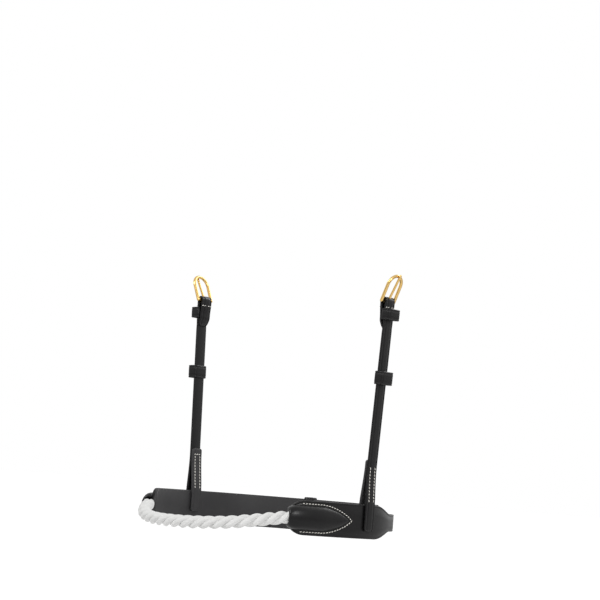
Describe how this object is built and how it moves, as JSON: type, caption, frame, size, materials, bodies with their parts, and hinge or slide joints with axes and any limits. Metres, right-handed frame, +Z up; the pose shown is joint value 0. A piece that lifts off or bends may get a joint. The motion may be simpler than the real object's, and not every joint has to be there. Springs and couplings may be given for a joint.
{
  "type": "noseband",
  "caption": "Rope noseband for a riding bridle: twisted rope front in stitched leather covers, leather side and chin straps with a buckle, and two hanger straps with buckles.",
  "frame": {"origin": "centre of the chin half of the leather loop, at half the band's height", "axes": "+Z up along the hangers, -Y forward to the nose rope, +X to the horse's near (left) side"},
  "size_m": [0.2708, 0.2744, 0.2595],
  "materials": {
    "bridle_leather": "satin",
    "lining_leather": "matte",
    "brass": "polished",
    "rope": "matte"
  },
  "bodies": {
    "noseband": {"near_side_band": "bridle_leather", "near_side_lining": "lining_leather", "chin_strap": "bridle_leather", "chin_strap_lining": "lining_leather", "nose_rope": "rope", "chin_buckle_chape": "bridle_leather", "near_rope_cover": "bridle_leather", "off_rope_cover": "bridle_leather", "near_hanger_outer_foot": "bridle_leather", "off_hanger_outer_foot": "bridle_leather", "near_hanger_inner_foot": "lining_leather", "off_hanger_inner_foot": "lining_leather"},
    "chin_buckle": {"chin_buckle_frame": "brass"},
    "chin_tongue": {"chin_buckle_tongue": "brass"},
    "chin_runner_loop": {"chin_runner": "bridle_leather"},
    "near_hanger": {"near_hanger_strap": "bridle_leather", "near_hanger_inner_layer": "lining_leather", "near_keeper": "bridle_leather"},
    "near_runner_loop": {"near_runner": "bridle_leather"},
    "near_buckle": {"near_buckle_frame": "brass"},
    "near_tongue": {"near_buckle_tongue": "brass"},
    "off_hanger": {"off_hanger_strap": "bridle_leather", "off_hanger_inner_layer": "lining_leather", "off_keeper": "bridle_leather"},
    "off_runner_loop": {"off_runner": "bridle_leather"},
    "off_buckle": {"off_buckle_frame": "brass"},
    "off_tongue": {"off_buckle_tongue": "brass"}
  },
  "joints": [
    {"name": "near_hanger_fold", "type": "hinge", "parent": "noseband", "child": "near_hanger", "pos_m": [0.114, 0, 0.0217], "axis": [0, 1, 0], "range_deg": [-25, 30]},
    {"name": "near_runner_slide", "type": "slide", "parent": "near_hanger", "child": "near_runner_loop", "axis": [0.0436, 0, 0.999], "range_m": [-0.07, 0.04]},
    {"name": "near_buckle_tip", "type": "hinge", "parent": "near_hanger", "child": "near_buckle", "pos_m": [0.12077, 0, 0.21459], "axis": [0, 1, 0], "range_deg": [-35, 60]},
    {"name": "near_tongue_lift", "type": "hinge", "parent": "near_buckle", "child": "near_tongue", "pos_m": [0.12077, 0, 0.21459], "axis": [0, 1, 0], "range_deg": [0, 30]},
    {"name": "off_hanger_fold", "type": "hinge", "parent": "noseband", "child": "off_hanger", "pos_m": [-0.114, 0, 0.0217], "axis": [0, -1, 0], "range_deg": [-25, 30]},
    {"name": "off_runner_slide", "type": "slide", "parent": "off_hanger", "child": "off_runner_loop", "axis": [-0.0436, 0, 0.999], "range_m": [-0.07, 0.04]},
    {"name": "off_buckle_tip", "type": "hinge", "parent": "off_hanger", "child": "off_buckle", "pos_m": [-0.12077, 0, 0.21459], "axis": [0, -1, 0], "range_deg": [-35, 60]},
    {"name": "off_tongue_lift", "type": "hinge", "parent": "off_buckle", "child": "off_tongue", "pos_m": [-0.12077, 0, 0.21459], "axis": [0, -1, 0], "range_deg": [0, 30]},
    {"name": "chin_buckle_tip", "type": "hinge", "parent": "noseband", "child": "chin_buckle", "pos_m": [0.00421, 0.12053, 0], "axis": [0, 0, 1], "range_deg": [0, 6]},
    {"name": "chin_tongue_lift", "type": "hinge", "parent": "chin_buckle", "child": "chin_tongue", "pos_m": [0.00421, 0.12053, 0], "axis": [0, 0, 1], "range_deg": [0, 8]},
    {"name": "chin_runner_slide", "type": "hinge", "parent": "noseband", "child": "chin_runner_loop", "pos_m": [0, 0, 0], "axis": [0, 0, 1], "range_deg": [-3, 8]}
  ]
}
